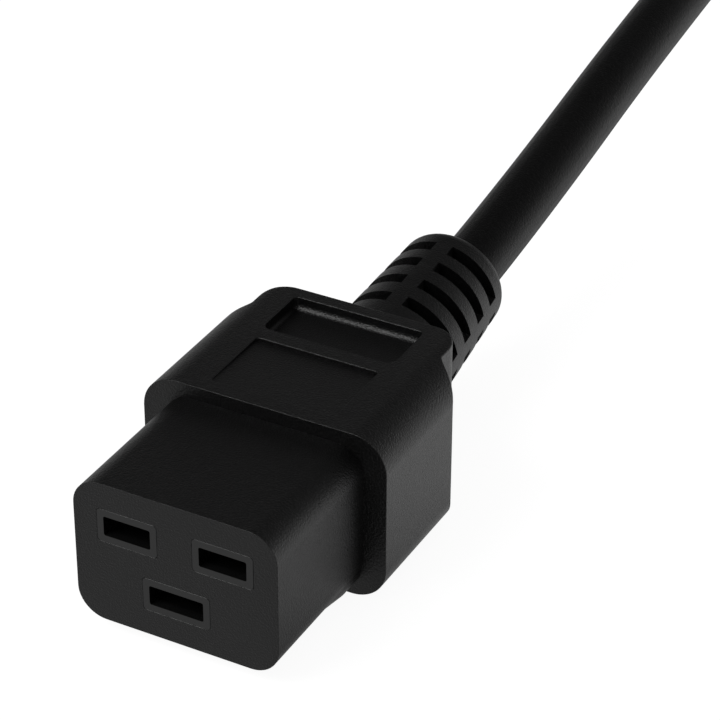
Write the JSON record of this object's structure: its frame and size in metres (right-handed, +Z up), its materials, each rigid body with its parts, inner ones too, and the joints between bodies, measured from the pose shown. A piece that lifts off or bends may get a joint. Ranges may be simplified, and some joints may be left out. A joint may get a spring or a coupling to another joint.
{
  "type": "c19 power connector",
  "caption": "Moulded appliance-coupler connector with flat-blade sockets, flexible cord guard and a round cord that ends in a matching plug",
  "frame": {"origin": "centre of the connector's mating face", "axes": "+Y back along the connector to its cord, +X to the right along the face as seen by the mating inlet, +Z up, so the connector lies on its underside"},
  "size_m": [0.061, 0.492, 0.0367],
  "materials": {
    "moulded_pvc": "fine-grained black moulded PVC",
    "insert_plastic": "smooth black hard insert",
    "inner_plastic": "natural inner moulding",
    "cord_sheath": "satin black PVC sheath",
    "strap_fabric": "black woven hook-and-loop strap",
    "contact_brass": "bare folded brass",
    "blade_metal": "nickel-plated brass",
    "brown_core": "brown PVC insulation",
    "blue_core": "blue PVC insulation",
    "green_core": "green and yellow PVC insulation",
    "conductor_copper": "stranded bare copper"
  },
  "bodies": {
    "root": {"connector_overmould": "moulded_pvc", "contact_carrier": "insert_plastic", "cord_hank": "cord_sheath", "cord_lead": "cord_sheath", "cord_tube": "cord_sheath", "earth_conductor": "conductor_copper", "earth_contact": "contact_brass", "earth_core": "green_core", "hank_strap": "strap_fabric", "inner_mould": "inner_plastic", "line_conductor": "conductor_copper", "line_contact": "contact_brass", "line_core": "brown_core", "neutral_conductor": "conductor_copper", "neutral_contact": "contact_brass", "neutral_core": "blue_core", "plug_earth_blade": "blade_metal", "plug_earth_conductor": "conductor_copper", "plug_earth_core": "green_core", "plug_inner_mould": "inner_plastic", "plug_line_blade": "blade_metal", "plug_line_conductor": "conductor_copper", "plug_line_core": "brown_core", "plug_neutral_blade": "blade_metal", "plug_neutral_conductor": "conductor_copper", "plug_neutral_core": "blue_core", "plug_overmould": "moulded_pvc", "plug_pin_carrier": "insert_plastic"}
  },
  "joints": []
}
